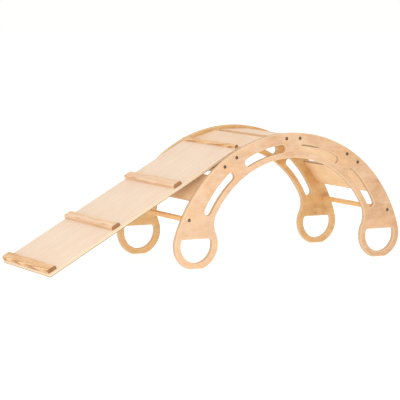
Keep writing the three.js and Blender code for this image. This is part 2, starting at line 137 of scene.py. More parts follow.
class Graph:
    # The node tree of one new material.
    def __init__(self, name):
        self.material = bpy.data.materials.new(name)
        self.material.use_nodes = True
        self.tree = self.material.node_tree
        self.shader = self.tree.nodes["Principled BSDF"]

    def add(self, kind, settings=None, values=None, output=0):
        node = self.tree.nodes.new(kind)
        for name, value in (settings or {}).items():
            if name == "stops":
                self.fillRamp(node.color_ramp, value)
            else:
                setattr(node, name, value)
        for name, value in (values or {}).items():
            if isinstance(value, Wire):
                self.tree.links.new(value.socket, node.inputs[name])
            else:
                node.inputs[name].default_value = value
        return Wire(self, node.outputs[output])

    def fillRamp(self, ramp, stops):
        while len(ramp.elements) < len(stops):
            ramp.elements.new(1)
        for element, (place, colour) in zip(ramp.elements, stops):
            element.position = place
            element.color = (*colour, 1)

    def number(self, operation, first, second):
        return self.add("ShaderNodeMath", {"operation": operation}, {0: first, 1: second})

    def attribute(self, name, output):
        return self.add("ShaderNodeAttribute", {"attribute_name": name}, {}, output)

    def split(self, vector):
        node = self.add("ShaderNodeSeparateXYZ", {}, {0: vector}).socket.node
        return [Wire(self, socket) for socket in node.outputs]

    def noise(self, place, stretch, detail=2.0, roughness=0.5, shift=0.0):
        # Fractal noise from 0 to 1, with its own number of bumps a metre along each direction.
        values = {0: place, 1: stretch, 2: (shift, shift * 1.7, shift * 0.6)}
        moved = self.add("ShaderNodeVectorMath", {"operation": "MULTIPLY_ADD"}, values)
        settings = {"noise_dimensions": "3D"}
        values = {"Vector": moved, "Scale": 1.0, "Detail": detail, "Roughness": roughness}
        return self.add("ShaderNodeTexNoise", settings, values)

    def ramp(self, factor, stops):
        return self.add("ShaderNodeValToRGB", {"stops": stops}, {0: factor})

    def mix(self, factor, first, second, blend="MIX"):
        settings = {"data_type": "RGBA", "blend_type": blend}
        return self.add("ShaderNodeMix", settings, {0: factor, 6: first, 7: second}, 2)

    def finish(self, colour, roughness, height=None, strength=0.1, distance=0.0003):
        feeds = {"Base Color": colour, "Roughness": roughness}
        if height is not None:
            values = {"Strength": strength, "Distance": distance, "Height": height}
            feeds["Normal"] = self.add("ShaderNodeBump", {}, values)
        for name, wire in feeds.items():
            self.tree.links.new(wire.socket, self.shader.inputs[name])
        return self.material


def opaque(colour):
    return (*colour, 1)


# Plywood. Colours: face goes from the darkest tone to the palest, warm tints soft patches of it,
# and ash greys some of its streaks. layers and glue are the plies' own tones on a cut edge.
# The dark edge tone is painted shade: it darkens the plies next to one face of each cut edge, from none
# to full between its two depths. outer tints the face, from none to full between the two depths in
# outerAt. Depth counts from a panel's outside or from a board's underside, and outerShare is how much
# of outer is used.
# Strengths: cloud, curl, bands, streak, fibre and fleck go from the largest marks to the smallest,
# warmth and grey are the shares of warm and ash, and drift is the change of tone per metre along
# the arch.
panelPly = dict(name="panelPly", thickness=0.018, plies=13,
                face=[(0.10, (0.450, 0.225, 0.100)), (0.34, (0.620, 0.365, 0.198)),
                      (0.60, (0.718, 0.482, 0.304)), (0.92, (0.780, 0.590, 0.415))],
                warm=(0.780, 0.440, 0.200), warmth=0.45,
                ash=(0.640, 0.530, 0.440),
                layers=((0.830, 0.590, 0.370), (0.560, 0.330, 0.165)), glue=(0.260, 0.150, 0.080),
                burn=(0.190, 0.125, 0.085), burnt=(0.0120, 0.0145),
                outer=(0.715, 0.490, 0.315), outerAt=(0.012, 0.006), outerShare=0.0,
                cloud=0.80, curl=0.46, bands=0.030, streak=0.0, fibre=0.34, fleck=0.22,
                grey=0.0, drift=-0.22, roughness=0.50)
# The far panel's copy is painted light: its face tones are warmer and more orange for the light bounced
# between the wooden parts onto its inner face, and outer takes its outside face most of the way back to
# the near panel's tone.
farPanelPly = dict(panelPly, name="farPanelPly",
                   face=[(0.10, (0.430, 0.205, 0.065)), (0.34, (0.640, 0.370, 0.145)),
                         (0.60, (0.740, 0.485, 0.225)), (0.92, (0.810, 0.590, 0.325))],
                   warm=(0.700, 0.360, 0.110), warmth=0.55,
                   layers=((0.800, 0.560, 0.320), (0.600, 0.370, 0.190)),
                   burnt=(0.0030, 0.0010), outerShare=0.7, cloud=1.1)
# The boards' face tones are paler than the panels' as painted light for their undersides, which lie in
# shade; outer is painted light too, making their outward faces paler still for the lower board in the
# ramp's shade.
boardPly = dict(panelPly, name="boardPly", thickness=0.012, plies=9,
                face=[(0.10, (0.600, 0.345, 0.150)), (0.34, (0.790, 0.515, 0.275)),
                      (0.60, (0.870, 0.620, 0.370)), (0.92, (0.930, 0.710, 0.460))],
                warm=(0.850, 0.540, 0.250), warmth=0.3, burnt=(0.0040, 0.0015),
                outer=(0.930, 0.745, 0.520), outerAt=(0.005, 0.007), outerShare=0.5, drift=0.0)
# The upper boards' face tones are paler again, painted light for their undersides in the shade under the
# arch; outer takes their outward faces most of the way back to a panel's tone.
topBoardPly = dict(boardPly, name="topBoardPly",
                   face=[(0.10, (0.660, 0.400, 0.195)), (0.34, (0.860, 0.590, 0.340)),
                         (0.60, (0.930, 0.700, 0.450)), (0.92, (0.960, 0.770, 0.530))],
                   outer=(0.720, 0.500, 0.360), outerShare=0.60)
rampPly = dict(boardPly, name="rampPly",
               face=[(0.10, (0.610, 0.400, 0.250)), (0.34, (0.750, 0.550, 0.395)),
                     (0.60, (0.810, 0.635, 0.485)), (0.92, (0.850, 0.705, 0.570))],
               warm=(0.740, 0.590, 0.455), warmth=0.35,
               layers=((0.850, 0.690, 0.480), (0.690, 0.500, 0.310)), glue=(0.420, 0.290, 0.180),
               outerShare=0.0, cloud=0.30, curl=0.12, streak=0.42, fibre=0.40, fleck=0.20, grey=0.30,
               roughness=0.58)


def plyMaterial(spec):
    # Rotary-cut birch: soft clouds, wavy bands, long streaks, fine fibres and short pores on the
    # faces, and even plies with dark glue lines where an edge cuts across them. The three numbers
    # of each noise are its bumps a metre along the grain, across it and through the sheet.
    g = Graph(spec["name"])
    grain = g.attribute("grain", "Vector")
    edge = g.attribute("edge", "Fac")
    along, across, through = g.split(grain)
    cloud = g.noise(grain, (9, 13, 0), 3, 0.55)
    curl = g.noise(grain, (34, 52, 0), 3, 0.65, 3.1)
    swirl = g.noise(grain, (3.2, 15, 0), 3, 0.5, 7.7)
    bands = (swirl * 46 + across * 60).sine()
    fibre = g.noise(grain, (16, 620, 0), 3, 0.7, 1.3)
    pores = g.noise(grain, (150, 1500, 0), 1, 0.5, 5.2).between(0.66, 0.74)
    streaks = g.noise(grain, (5, 130, 0), 2, 0.6, 6.4)
    lengthwise = g.split(g.add("ShaderNodeTexCoord", {}, {}, "Object"))[0] - archX
    tone = 0.5 + (cloud - 0.5) * spec["cloud"] + (curl - 0.5) * spec["curl"]
    tone = tone + bands * spec["bands"] + (streaks - 0.5) * spec["streak"] + lengthwise * spec["drift"]
    tone = tone + (fibre - 0.5) * spec["fibre"] - pores * spec["fleck"]
    patch = g.noise(grain, (9, 17, 0), 2, 0.6, 9.3).between(0.48, 0.72)
    face = g.mix(patch * spec["warmth"], g.ramp(tone, spec["face"]), opaque(spec["warm"]))
    ash = g.noise(grain, (3, 75, 0), 2, 0.6, 8.6).between(0.50, 0.72)
    face = g.mix(ash * spec["grey"], face, opaque(spec["ash"]))
    # outer retints one face: on the lower boards it is painted light that makes the outward face paler;
    # on the upper boards and the far panel it takes that face back towards a panel's own tone.
    outside = through.between(*spec["outerAt"])
    face = g.mix(outside * spec["outerShare"], face, opaque(spec["outer"]))

    layer = through * (spec["plies"] / spec["thickness"])
    crosswise = (layer * 0.5).fraction().above(0.5)
    glue = ((layer.fraction() - 0.5).absolute()).between(0.40, 0.48)
    sawn = g.noise(grain, (140, 140, 1400), 2, 0.6, 2.4)
    light, dark = (opaque(tint) for tint in spec["layers"])
    cut = g.mix(crosswise * 0.7 + (sawn - 0.5) * 0.8 + 0.1, light, dark)
    cut = g.mix(glue * 0.55, cut, opaque(spec["glue"]))
    # Painted shade: the plies darken next to one face of each cut edge.
    cut = g.mix(through.between(*spec["burnt"]) * 0.8, cut, opaque(spec["burn"]))
    rim = edge * (1 - edge) * 2
    colour = g.mix(edge, face, cut)
    colour = g.mix(rim * 0.5, colour, opaque(spec["layers"][0]))
    roughness = (fibre - 0.5) * 0.12 + edge * 0.14 + spec["roughness"]
    height = fibre * 0.7 - pores * 0.6 + edge * sawn * 1.2 - edge * glue * 0.5
    return g.finish(colour, roughness, height, 0.14, 0.0002)


# Solid wood: ring is the width of a year's growth, heart is where the tree's middle lies beside and
# below the piece, and lean is how fast it drifts sideways. late, cloud and fibre are strengths.
battenPine = dict(name="battenPine", ring=0.0062, heart=(0.010, -0.040), lean=0.05,
                  face=[(0.06, (0.310, 0.125, 0.035)), (0.30, (0.590, 0.295, 0.105)),
                        (0.55, (0.800, 0.510, 0.260)), (0.90, (0.900, 0.675, 0.410))],
                  late=0.60, cloud=0.70, fibre=0.26, end=(0.250, 0.100, 0.028), roughness=0.55)
palePine = dict(battenPine, name="palePine", ring=0.0044, lean=0.015,
                face=[(0.06, (0.400, 0.190, 0.075)), (0.30, (0.640, 0.380, 0.195)),
                      (0.55, (0.760, 0.515, 0.330)), (0.90, (0.820, 0.630, 0.460))],
                late=0.36, cloud=0.60)
barWood = dict(battenPine, name="barWood", ring=0.0030, heart=(0.022, -0.060), lean=0.02,
               face=[(0.06, (0.520, 0.250, 0.080)), (0.30, (0.740, 0.420, 0.165)),
                     (0.55, (0.830, 0.510, 0.225)), (0.90, (0.890, 0.600, 0.310))],
               late=0.20, cloud=0.40, fibre=0.24)


def solidWoodMaterial(spec):
    # Growth rings are cylinders round a leaning heart line, so they run as streaks along a
    # piece and as arcs on its ends. Each ring darkens slowly and then stops.
    g = Graph(spec["name"])
    grain = g.attribute("grain", "Vector")
    end = g.attribute("endGrain", "Fac")
    along, across, through = g.split(grain)
    wobble = g.noise(grain, (5, 22, 22), 3, 0.55)
    side = across - spec["heart"][0] + along * spec["lean"]
    deep = through - spec["heart"][1]
    radius = (side * side + deep * deep).math("SQRT") + (wobble - 0.5) * 0.012
    late = (radius / spec["ring"]).fraction() ** 2.4
    cloud = g.noise(grain, (9, 40, 40), 3, 0.55, 4.0)
    fibre = g.noise(grain, (30, 1100, 1100), 2, 0.6, 1.9)
    tone = 0.62 - late * spec["late"] + (cloud - 0.5) * spec["cloud"] + (fibre - 0.5) * spec["fibre"]
    tone = tone - end * 0.16
    colour = g.ramp(tone, spec["face"])
    colour = g.mix(end * 0.76, colour, opaque(spec["end"]))
    roughness = (fibre - 0.5) * 0.12 + end * 0.15 + spec["roughness"]
    height = fibre * 0.7 - late * 0.3 + end * cloud * 0.8
    return g.finish(colour, roughness, height, 0.16, 0.0002)


# Steel: tones are the plating's two shades; the pale tone laid inside the socket is a painted highlight,
# the glint of light in it.
darkSteel = dict(name="darkSteel", tones=((0.060, 0.036, 0.025), (0.130, 0.084, 0.060)),
                 worn=(0.50, 0.44, 0.38), roughness=0.42)
brightSteel = dict(name="brightSteel", tones=((0.50, 0.47, 0.40), (0.68, 0.66, 0.60)),
                   worn=(0.78, 0.77, 0.74), roughness=0.30)


def steelMaterial(spec):
    # Plated steel: faint mottling and fine turned scratches, with a painted highlight inside the socket.
    g = Graph(spec["name"])
    place = g.add("ShaderNodeTexCoord", {}, {}, "Object")
    wear = g.attribute("wear", "Fac")
    mottle = g.noise(place, (420, 420, 420), 3, 0.6)
    scratch = g.noise(place, (2600, 900, 2600), 2, 0.6, 2.0)
    low, high = (opaque(tint) for tint in spec["tones"])
    colour = g.mix(mottle.between(0.3, 0.7), low, high)
    # Painted highlight: the socket's floor and walls are paled towards the glint tone.
    colour = g.mix(wear * (0.55 + mottle * 0.4), colour, opaque(spec["worn"]))
    roughness = (mottle - 0.5) * 0.25 + (scratch - 0.5) * 0.12 + spec["roughness"]
    g.shader.inputs["Metallic"].default_value = 0.85
    return g.finish(colour, roughness, scratch, 0.10, 0.00005)


finishes = {}
for makeFinish, specs in ((plyMaterial, (panelPly, farPanelPly, boardPly, topBoardPly, rampPly)),
                          (solidWoodMaterial, (battenPine, palePine, barWood)),
                          (steelMaterial, (darkSteel, brightSteel))):
    for spec in specs:
        finishes[spec["name"]] = makeFinish(spec)
print("finishes made:", ", ".join(finishes))


def arc(x, y, radius, start, stop):
    # Points at even angles on a circle, close enough together to read as round.
    count = max(3, math.ceil(abs(stop - start) / min(math.radians(5), 0.005 / radius)))
    angle = np.linspace(start, stop, count + 1)
    return np.column_stack((x + radius * np.cos(angle), y + radius * np.sin(angle)))


def closed(*pieces):
    # One closed path from stretches that meet end to end, without the doubled points.
    path = np.concatenate(pieces)
    gap = np.linalg.norm(path - np.roll(path, -1, axis=0), axis=1)
    return path[gap > 1e-6]


def mirrored(path):
    # The same path beyond x = 0, run backwards so that it turns the same way.
    return (path * (-1, 1))[::-1]


def signedArea(path):
    # Half the sum of the cross products of neighbouring points, positive for a left turn.
    x, y = path.T
    return float(np.sum(x * np.roll(y, -1) - np.roll(x, -1) * y)) / 2


def outward(path):
    # At each point, the direction halfway between its two edges' normals, lengthened so that
    # a step along it moves both edges by the same amount.
    ahead = np.roll(path, -1, axis=0) - path
    ahead /= np.linalg.norm(ahead, axis=1)[:, None]
    sideways = np.column_stack((ahead[:, 1], -ahead[:, 0])) * np.sign(signedArea(path))
    both = sideways + np.roll(sideways, 1, axis=0)
    return 2 * both / np.sum(both * both, axis=1)[:, None]


def swept(path, profile):
    # A profile of (outwards, depth) pairs carried along a closed path.
    steps = np.asarray(profile, float)
    plan = path[None] + steps[:, None, :1] * outward(path)[None]
    depth = np.broadcast_to(steps[:, None, 1:], (*plan.shape[:2], 1))
    return np.concatenate((plan, depth), axis=2)


def rounding(radius, count=5):
    # (inwards, depth) along a quarter circle, from the face to the side.
    turn = np.linspace(0, quarter, count + 1)
    return np.column_stack((radius * (1 - np.sin(turn)), radius * (1 - np.cos(turn))))


def throughProfile(thickness, ease):
    # An eased edge, straight down, and an eased edge again, inset from the path.
    first = rounding(ease)
    last = (first * (1, -1) + (0, thickness))[::-1]
    return np.concatenate((first, last))


def roundHole(x, y, steps, count=32):
    # Circles of the given (radius, depth) pairs about one centre.
    steps = np.asarray(steps, float)
    angle = np.arange(count) * (2 * math.pi / count)
    circle = np.column_stack((np.cos(angle), np.sin(angle)))
    plan = (x, y) + steps[:, None, :1] * circle[None]
    depth = np.broadcast_to(steps[:, None, 1:], (len(steps), count, 1))
    return np.concatenate((plan, depth), axis=2)


def sheetEdge(path, thickness, ease):
    # The eased edge of a sheet's outline.
    return swept(path, throughProfile(thickness, ease) * (-1, 1))


def sheetHole(path, thickness, ease):
    # The eased edge of an opening, which grows towards both faces.
    return swept(path, throughProfile(thickness, ease))


def insideRings(points, rings):
    # Counts how many ring edges lie to one side of each point: an odd count is inside.
    starts = np.concatenate(rings)
    stops = np.concatenate([np.roll(ring, -1, axis=0) for ring in rings])
    x, y = points[:, :1], points[:, 1:]
    crosses = (starts[:, 1] > y) != (stops[:, 1] > y)
    rise = np.where(crosses, stops[:, 1] - starts[:, 1], 1)
    where = starts[:, 0] + (y - starts[:, 1]) * (stops[:, 0] - starts[:, 0]) / rise
    return np.sum(crosses & (x < where), axis=1) % 2 == 1


def filled(rings, starts):
    # Triangles between flat rings, as numbers of vertices counted from each ring's start.
    numbers = np.concatenate([start + np.arange(len(ring)) for ring, start in zip(rings, starts)])
    firsts = np.cumsum([0] + [len(ring) for ring in rings])
    edges = np.concatenate([
        first + np.column_stack((np.arange(len(ring)), np.roll(np.arange(len(ring)), -1)))
        for first, ring in zip(firsts, rings)
    ])
    flat = np.concatenate(rings)
    found = delaunay_2d_cdt(list(map(Vector, flat.tolist())), edges.tolist(), [], 0, 1e-9, True)
    back = np.array(found[3]).reshape(-1)
    triangles = back[np.array(found[2])]
    return numbers[triangles[insideRings(flat[triangles].mean(axis=1), rings)]]


def shell(stacks, faces):
    # Joins the rings of each stack with quads and closes every open end: an end that lies on
    # one of the given flat faces is shared with the other rings there, and the rest stand alone.
    quads, triangles, starts = [], [], []
    count = 0
    for stack in stacks:
        rows, around = stack.shape[:2]
        number = count + np.arange(rows * around).reshape(rows, around)
        ahead = np.roll(number, -1, axis=1)
        strips = (number[:-1], ahead[:-1], ahead[1:], number[1:])
        quads.append(np.stack(strips, axis=-1).reshape(-1, 4))
        starts.append((number[0, 0], number[-1, 0]))
        count += rows * around
    ends = [(stack[row][:, :2], start[row], stack[row][0, 2])
            for stack, start in zip(stacks, starts) for row in (0, -1)]
    for level in faces:
        shared = [end for end in ends if abs(end[2] - level) < flush]
        if shared:
            triangles.append(filled([end[0] for end in shared], [end[1] for end in shared]))
    for ring, start, level in ends:
        if min(abs(level - face) for face in faces) >= flush:
            triangles.append(filled([ring], [start]))
    points = np.concatenate([stack.reshape(-1, 3) for stack in stacks])
    return points, np.concatenate(quads), np.concatenate(triangles)


def fillMesh(mesh, points, quads, triangles):
    mesh.vertices.add(len(points))
    mesh.vertices.foreach_set("co", points.astype(np.float32).ravel())
    corners = np.concatenate((quads.ravel(), triangles.ravel()))
    sizes = np.repeat((4, 3), (len(quads), len(triangles)))
    mesh.loops.add(len(corners))
    mesh.loops.foreach_set("vertex_index", corners.astype(np.int32))
    mesh.polygons.add(len(sizes))
    mesh.polygons.foreach_set("loop_start", (np.cumsum(sizes) - sizes).astype(np.int32))
    mesh.update(calc_edges=True)
    mesh.validate()


def attach(mesh, name, kind, domain, values):
    layer = mesh.attributes.new(name, kind, domain)
    field = "vector" if kind == "FLOAT_VECTOR" else "value"
    layer.data.foreach_set(field, np.asarray(values, np.float32).ravel())


def makePiece(name, points, quads, triangles, finish, body, slot, creaseAngle=38, **layers):
    # Puts the arrays into a mesh that stands for the CAD node of the same name.
    mesh = bpy.data.meshes.new(name + "_mesh")
    fillMesh(mesh, points, quads, triangles)
    for label, (kind, domain, values) in layers.items():
        attach(mesh, label, kind, domain, values)
    tidy = bmesh.new()
    tidy.from_mesh(mesh)
    bmesh.ops.recalc_face_normals(tidy, faces=tidy.faces)
    tidy.to_mesh(mesh)
    tidy.free()
    mesh.shade_smooth()
    mesh.set_sharp_from_angle(angle=math.radians(creaseAngle))
    mesh.materials.append(finishes[finish])
    piece = bpy.data.objects.new(name + "_finished", mesh)
    bpy.context.scene.collection.objects.link(piece)
    even = piece.modifiers.new("even shading", "WEIGHTED_NORMAL")
    even.keep_sharp = True
    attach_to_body(piece, body)
    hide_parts(name)


class Axes:
    # A piece's own directions and corner: (u, v, w) inside it becomes a place in the frame.
    def __init__(self, corner, u, v, w):
        self.corner = np.asarray(corner, float)
        self.turn = np.array((u, v, w), float)

    def place(self, local):
        return self.corner + local @ self.turn


# Each wooden piece takes its grain from another place in the same endless wood.
mostPieces = 64
pieceShift = np.random.default_rng(12).uniform(-4, 4, (mostPieces, 2))
pieceCount = iter(range(mostPieces))


def plyPiece(name, stacks, thickness, axes, grainAxis, finish, slot, body):
    # A piece cut from plywood. Its grain runs along u or v, and its plies lie across w.
    local, quads, triangles = shell(stacks, (0.0, thickness))
    lengthways, sideways = (0, 1) if grainAxis == "u" else (1, 0)
    shift = pieceShift[next(pieceCount)]
    grain = np.column_stack((local[:, lengthways], local[:, sideways], local[:, 2]))
    grain = grain + (shift[0], shift[1], 0)
    flatPart = np.minimum(np.abs(local[:, 2]), np.abs(thickness - local[:, 2])) < flush
    edge = np.where(flatPart, 0.0, 1.0)
    makePiece(name, axes.place(local), quads, triangles, finish, body, slot,
              grain=("FLOAT_VECTOR", "POINT", grain), edge=("FLOAT", "POINT", edge))


# slots are given by the angles from the top at which each one starts and stops
panel = dict(footSpacing=0.814, footRadius=0.0905, footFlat=0.004, crown=0.093, legInset=0.039,
             waist=0.078, footRim=0.0245, holeRise=0.0215, holeCorner=0.012, slotWidth=0.030,
             slotRail=0.022, slots=((4.5, 30.5), (39.0, 65.0)), edge=0.0030, housing=0.006)
board = dict(width=0.116, thickness=0.012, recess=0.015, gap=0.0275, edge=0.0020, endEdge=0.0006)
screw = dict(spacing=0.059, head=0.012, headHeight=0.0027, sink=0.0004, dome=0.55, bevel=0.0002,
             shank=0.005, length=0.050, point=0.005, neck=0.0022, core=0.0018, pitch=0.0018,
             socket=0.004, socketDepth=0.0020, pilotSpare=0.002, sides=36)

panelThickness = nearHigh.y - nearLow.y
archHeight = nearHigh.z
footX = panel["footSpacing"] / 2
footZ = panel["footRadius"] - panel["footFlat"]
reach = archHeight - panel["footRadius"]
outerZ = (reach ** 2 - footX ** 2 - footZ ** 2) / (2 * (reach - footZ))
outerRadius = archHeight - outerZ
innerRadius = footX - panel["legInset"]
innerZ = archHeight - panel["crown"] - innerRadius
boardRadius = outerRadius - board["recess"] - board["thickness"] / 2
boardPitch = 2 * math.atan((board["width"] + board["gap"]) / 2 / boardRadius)


def waistCentre():
    # Where a circle touches the inner arc from inside and the foot ring from outside.
    toInner = innerRadius - panel["waist"]
    toFoot = panel["footRadius"] + panel["waist"]
    rise = footZ - innerZ
    apart = math.hypot(footX, rise)
    ahead = (toInner ** 2 - toFoot ** 2 + apart ** 2) / (2 * apart)
    aside = math.sqrt(toInner ** 2 - ahead ** 2)
    return (footX * ahead - rise * aside) / apart, innerZ + (rise * ahead + footX * aside) / apart


def panelPath():
    # Half the outline: outer arc, foot ring with its flat, waist and inner arc; then its mirror image.
    waistX, waistZ = waistCentre()
    ring = panel["footRadius"]
    outerEnd = math.atan2(footZ - outerZ, footX)
    flat = math.acos(footZ / ring)
    footEnd = math.atan2(waistZ - footZ, waistX - footX) - 2 * math.pi
    waistEnd = math.atan2(waistZ - innerZ, waistX)
    half = closed(
        arc(0, outerZ, outerRadius, quarter, outerEnd),
        arc(footX, footZ, ring, outerEnd, flat - quarter),
        arc(footX, footZ, ring, -quarter - flat, footEnd),
        arc(waistX, waistZ, panel["waist"], footEnd + math.pi, waistEnd),
        arc(0, innerZ, innerRadius, waistEnd, quarter),
    )
    return closed(half, mirrored(half))


def handHolePath():
    # A circle cut off by a level line, with a round corner at each side.
    corner = panel["holeCorner"]
    radius = panel["footRadius"] - panel["footRim"]
    cornerZ = footZ + panel["holeRise"] - corner
    cornerX = math.sqrt((radius - corner) ** 2 - (cornerZ - footZ) ** 2)
    tangent = math.atan2(cornerZ - footZ, cornerX)
    half = closed(
        arc(cornerX, cornerZ, corner, quarter, tangent),
        arc(0, footZ, radius, tangent, -quarter),
    )
    return closed(half, mirrored(half))


def slotPath(degrees):
    # Two arcs about the inner arc's centre, joined by round ends.
    end = panel["slotWidth"] / 2
    inner = innerRadius + panel["slotRail"]
    middle = inner + end
    start, stop = (quarter - math.radians(d) for d in degrees)
    start -= end / middle
    stop += end / middle

    def cap(angle, turn):
        x, z = middle * math.cos(angle), innerZ + middle * math.sin(angle)
        return arc(x, z, end, turn, turn - math.pi)

    return closed(
        arc(0, innerZ, inner + panel["slotWidth"], start, stop),
        cap(stop, stop),
        arc(0, innerZ, inner, stop, start),
        cap(start, start + math.pi),
    )


def boardMiddle(steps):
    # The middle of a board that many steps from the top, and the angle it leans at.
    angle = steps * boardPitch
    return boardRadius * math.sin(angle), outerZ + boardRadius * math.cos(angle), angle


boardSteps = {"top_board": 0, "upper_board_ramp_side": -1, "upper_board_far_side": 1,
              "middle_board_ramp_side": -2, "middle_board_far_side": 2,
              "lower_board_ramp_side": -3, "lower_board_far_side": 3}
screwedBoards = ("top_board", "middle_board_ramp_side", "middle_board_far_side")


def middleOf(node):
    low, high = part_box(node)
    return (low + high) / 2


def frameScrewNodes(side):
    boards = [f"{name}_screw_{letter}_{side}" for name in screwedBoards for letter in "ab"]
    return boards + [f"leg_bar_{end}_screw_{side}" for end in ("ramp_side", "far_side")]


def housingStack(steps):
    # A pocket in the inner face for the end of a board, as a leaning rectangle.
    x, z, angle = boardMiddle(steps)
    half = np.array((board["width"] / 2 + fit, board["thickness"] / 2 + fit))
    corners = np.array(((1, 1), (-1, 1), (-1, -1), (1, -1))) * half
    c, s = math.cos(angle), math.sin(angle)
    path = corners @ np.array(((c, -s), (s, c))) + (x, z)
    return swept(path, ((0, panelThickness), (0, panelThickness - panel["housing"])))


def panelStacks(side):
    # The outline, the hand holes and slots, a seat and bore for each screw, and the pockets.
    ease = panel["edge"]
    hole = handHolePath()
    slots = [slotPath(degrees) for degrees in panel["slots"]]
    openings = [hole + (footX, 0), hole - (footX, 0), *slots, *map(mirrored, slots)]
    stacks = [sheetEdge(panelPath(), panelThickness, ease)]
    stacks += [sheetHole(path, panelThickness, ease) for path in openings]
    head, shank = screw["head"] / 2 + fit, screw["shank"] / 2 + fit
    seat = screw["headHeight"] + screw["sink"] + fit
    bore = ((head + fit, 0), (head, fit), (head, seat), (shank, seat), (shank, panelThickness))
    for node in frameScrewNodes(side):
        spot = middleOf(node)
        stacks.append(roundHole(spot.x - archX, spot.z, bore))
    stacks += [housingStack(steps) for name, steps in boardSteps.items() if name not in screwedBoards]
    return stacks


def makePanels():
    # The far panel takes the copy with painted bounce light on its inner face.
    for side, outer, inwards, finish in (("right", nearLow.y, 1, "panelPly"),
                                         ("left", -nearLow.y, -1, "farPanelPly")):
        axes = Axes((archX, outer, 0), (1, 0, 0), (0, 0, 1), (0, inwards, 0))
        plyPiece(f"{side}_side_panel", panelStacks(side), panelThickness, axes, "u",
                 finish, "panel_ply", "arch")


makePanels()
print("side panels made")


bar = dict(depth=0.022, height=0.018, edge=0.0060, endEdge=0.0006)


def roundedRectangle(width, height, radius):
    # Quarter circles about four centres, joined by straight lines.
    x, y = width / 2 - radius, height / 2 - radius
    corners = [arc(px, py, radius, turn, turn + quarter) for px, py, turn in
               ((x, y, 0), (-x, y, quarter), (-x, -y, math.pi), (x, -y, math.pi + quarter))]
    return closed(*corners)


def endBore(x, length, deep):
    # A pilot bore into each end of a piece, with a pointed bottom left by the drill.
    radius = screw["shank"] / 2 + fit
    near = ((radius, 0), (radius, deep), (radius * 0.1, deep + radius * 0.6))
    far = [(r, length - d) for r, d in near]
    return [roundHole(x, 0, near, 20), roundHole(x, 0, far, 20)]


def boreDepth():
    # From the end of a board, a little past the point of the screw.
    return screw["headHeight"] + screw["sink"] + screw["length"] - panelThickness + screw["pilotSpare"]


def makeBoards():
    # A rounded rectangle drawn out along each board, leaning at its own place on the arch.
    half = board["width"] / 2
    for name, steps in boardSteps.items():
        low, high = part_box(name)
        length = high.y - low.y
        x, z, angle = boardMiddle(steps)
        path = roundedRectangle(board["width"], board["thickness"], board["edge"])
        stacks = [sheetEdge(path, length, board["endEdge"])]
        if name in screwedBoards:
            for side in (-1, 1):
                stacks += endBore(side * screw["spacing"] / 2, length, boreDepth())
        local, quads, triangles = shell(stacks, (0.0, length))
        c, s = math.cos(angle), math.sin(angle)
        axes = Axes((archX + x, low.y, z), (c, 0, -s), (s, 0, c), (0, 1, 0))
        shift = pieceShift[next(pieceCount)]
        depth = local[:, 1] + board["thickness"] / 2
        grain = np.column_stack((local[:, 2] + shift[0], local[:, 0] + shift[1], depth))
        # The two faces are flat; long edges and ends show the plies.
        onFace = (np.abs(local[:, 1]) > board["thickness"] / 2 - flush) & (np.abs(local[:, 0]) <= half)
        # The upper boards take the copy with the most painted light on their undersides.
        finish = "boardPly" if abs(steps) > 1 else "topBoardPly"
        makePiece(name, axes.place(local), quads, triangles, finish, "arch", "board_ply",
                  grain=("FLOAT_VECTOR", "POINT", grain),
                  edge=("FLOAT", "POINT", np.where(onFace, 0.0, 1.0)))


def makeBars():
    # A rounded rectangle drawn out level, with one bore in each end.
    for name in ("leg_bar_ramp_side", "leg_bar_far_side"):
        low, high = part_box(name)
        length = high.y - low.y
        path = roundedRectangle(bar["depth"], bar["height"], bar["edge"])
        stacks = [sheetEdge(path, length, bar["endEdge"]), *endBore(0, length, boreDepth())]
        local, quads, triangles = shell(stacks, (0.0, length))
        spot = middleOf(name)
        axes = Axes((spot.x, low.y, spot.z), (1, 0, 0), (0, 0, 1), (0, 1, 0))
        makeSolid(name, local, quads, triangles, axes, 2, "barWood", "bar_wood", "arch")


def makeSolid(name, local, quads, triangles, axes, lengthAxis, finish, slot, body):
    # A piece sawn from solid wood. Faces that look along its length show end grain.
    shift = pieceShift[next(pieceCount)] * (1, 0.002)
    others = [axis for axis in (0, 1, 2) if axis != lengthAxis]
    grain = np.column_stack((local[:, lengthAxis] + shift[0], local[:, others[0]] + shift[1],
                             local[:, others[1]]))
    corners = [local[quads[:, k]] for k in (0, 1, 2, 3)]
    facing = np.cross(corners[2] - corners[0], corners[3] - corners[1])
    across = local[triangles]
    facing = np.concatenate((facing, np.cross(across[:, 1] - across[:, 0], across[:, 2] - across[:, 0])))
    facing = np.abs(facing) / np.maximum(np.linalg.norm(facing, axis=1), 1e-18)[:, None]
    endGrain = (facing[:, lengthAxis] > 0.6).astype(float)
    makePiece(name, axes.place(local), quads, triangles, finish, body, slot,
              grain=("FLOAT_VECTOR", "POINT", grain), endGrain=("FLOAT", "FACE", endGrain))


makeBoards()
makeBars()
print("boards and leg bars made")


ramp = dict(corner=0.006, edge=0.0015, screwSink=0.0008, screwSideInset=0.050,
            screwHead=0.008, screwHeadHeight=0.0024, screwShank=0.004, screwCore=0.68,
            screwPitch=0.0016, screwSocket=0.0019, screwSocketDepth=0.0014, screwLobe=0.12,
            screwSides=24)
batten = dict(count=4, width=0.036, height=0.014, chamfer=0.004, inset=0.004, sideInset=0.009,
              edge=0.0008, screwBite=0.010, pilotSpare=0.0004, pilotTip=0.001)
topBatten = dict(width=0.014, height=0.010, chamfer=0.002, inset=0.005, screwBite=0.007)
cleat = dict(width=0.015, depth=0.028, corner=0.0020, edge=0.0008, sideInset=0.020, screwShift=0.002)

